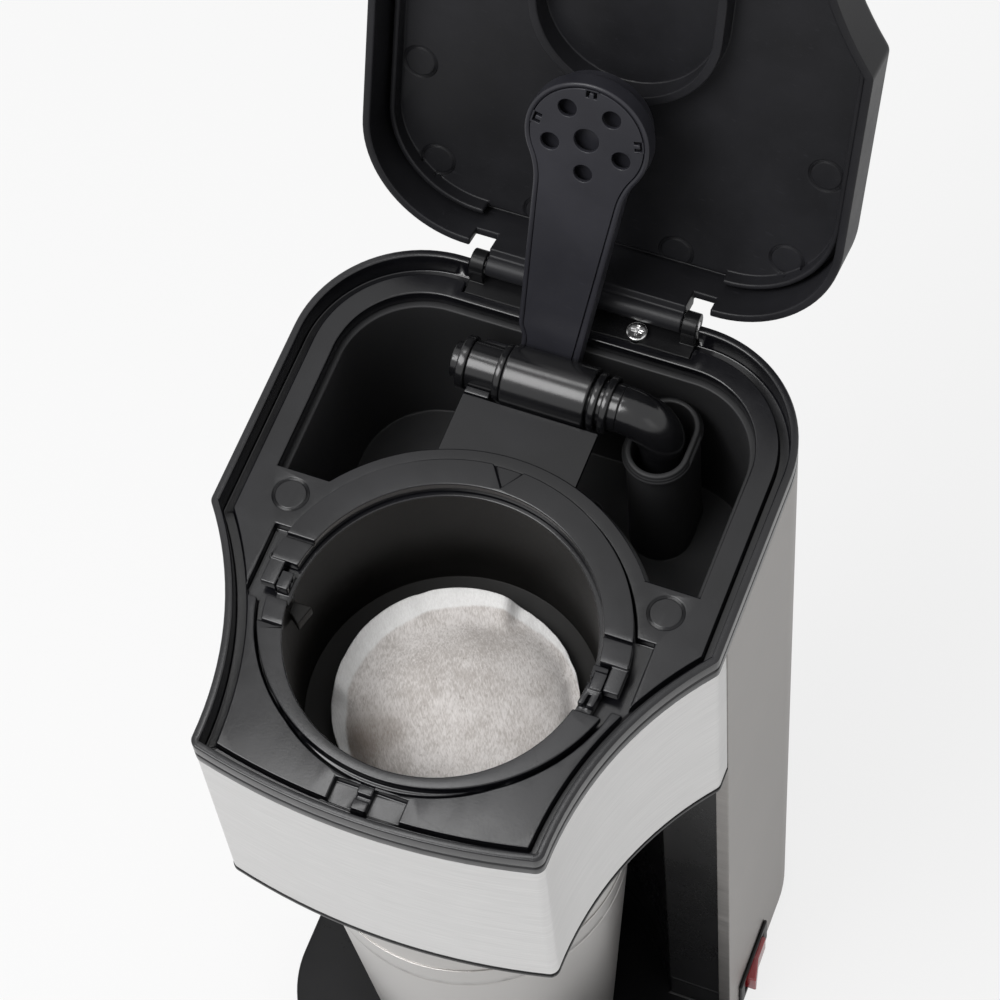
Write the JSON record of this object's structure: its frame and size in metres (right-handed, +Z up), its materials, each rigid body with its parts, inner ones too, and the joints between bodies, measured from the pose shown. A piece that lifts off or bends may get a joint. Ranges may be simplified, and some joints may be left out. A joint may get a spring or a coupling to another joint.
{
  "type": "drip coffee maker",
  "caption": "Single-cup drip coffee maker with an open hinged lid, swing-up spray arm, lift-out pod basket, rear water tank, steel-wrapped head and a steel travel mug under it.",
  "frame": {"origin": "centre of the overall footprint with the lid open, on the table under the feet", "axes": "+Z up, -Y to the front where the mug slides out, +X to the machine's right side with the switch"},
  "size_m": [0.1484, 0.2411, 0.4618],
  "materials": {
    "black_plastic": "fine satin texture",
    "satin_plastic": "satin",
    "dark_plastic": "satin, lightly scuffed",
    "gloss_black": "polished",
    "brushed_steel": "horizontal brushing",
    "mug_steel": "satin turned",
    "liner_steel": "plain",
    "rubber": "matt",
    "silicone": "milky",
    "clear_plastic": "plain",
    "plated_steel": "bright plated",
    "heater_metal": "as cast",
    "ceramic_body": "plain",
    "filter_paper": "fibrous, stained",
    "red_plastic": "glossy"
  },
  "bodies": {
    "housing": {"base_shell": "black_plastic", "bottom_cover": "black_plastic", "rubber_feet": "rubber", "bottom_screws": "plated_steel", "column_shell": "black_plastic", "side_panel_left": "brushed_steel", "side_panel_right": "brushed_steel", "head_shell": "black_plastic", "head_wrap": "brushed_steel", "head_trim": "black_plastic", "top_frame": "satin_plastic", "water_tank": "dark_plastic", "riser_pipe": "gloss_black", "elbow_pipe": "gloss_black", "spray_pipe": "gloss_black", "pipe_cap": "gloss_black", "pipe_seals": "rubber", "pipe_saddle": "satin_plastic", "hinge_bracket": "satin_plastic", "hinge_pin": "plated_steel", "hinge_screws": "plated_steel", "flow_heater": "heater_metal", "heater_clip": "plated_steel", "thermostat": "ceramic_body", "thermal_fuse": "plated_steel", "inlet_hose": "silicone", "check_valve": "clear_plastic", "tank_hose": "silicone", "outlet_hose": "silicone", "cable_gland": "black_plastic", "switch_housing": "black_plastic"},
    "lid": {"lid_shell": "dark_plastic", "lid_liner": "dark_plastic"},
    "arm": {"spray_arm": "dark_plastic", "spray_plate": "dark_plastic"},
    "basket": {"filter_basket": "satin_plastic"},
    "bail": {"basket_bail": "satin_plastic"},
    "pod": {"coffee_pod": "filter_paper"},
    "mug": {"mug_shell": "mug_steel", "mug_liner": "liner_steel", "mug_collar": "mug_steel", "mug_foot": "rubber"},
    "rocker": {"switch_rocker": "red_plastic"}
  },
  "joints": [
    {"name": "lid_hinge", "type": "hinge", "parent": "housing", "child": "lid", "pos_m": [0, 0.04516, 0.308], "axis": [-1, 0, 0], "range_deg": [-110, 0]},
    {"name": "arm_hinge", "type": "hinge", "parent": "housing", "child": "arm", "pos_m": [0, 0.01716, 0.302], "axis": [-1, 0, 0], "range_deg": [-112, 0]},
    {"name": "basket_lift", "type": "slide", "parent": "housing", "child": "basket", "axis": [0, 0, 1], "range_m": [0, 0.12]},
    {"name": "bail_fold", "type": "hinge", "parent": "basket", "child": "bail", "pos_m": [0, -0.06364, 0.30525], "axis": [1, 0, 0], "range_deg": [0, 95]},
    {"name": "pod_lift", "type": "slide", "parent": "basket", "child": "pod", "axis": [0, 0, 1], "range_m": [0, 0.055]},
    {"name": "mug_slide", "type": "slide", "parent": "housing", "child": "mug", "axis": [0, -1, 0], "range_m": [0, 0.18]},
    {"name": "switch_rock", "type": "hinge", "parent": "housing", "child": "rocker", "pos_m": [0.07, -0.01984, 0.017], "axis": [0, 0, -1], "range_deg": [0, 16]}
  ],
  "couplings": [
    {"joint": "arm_hinge", "follows": "lid_hinge", "ratio": 1.0182}
  ]
}
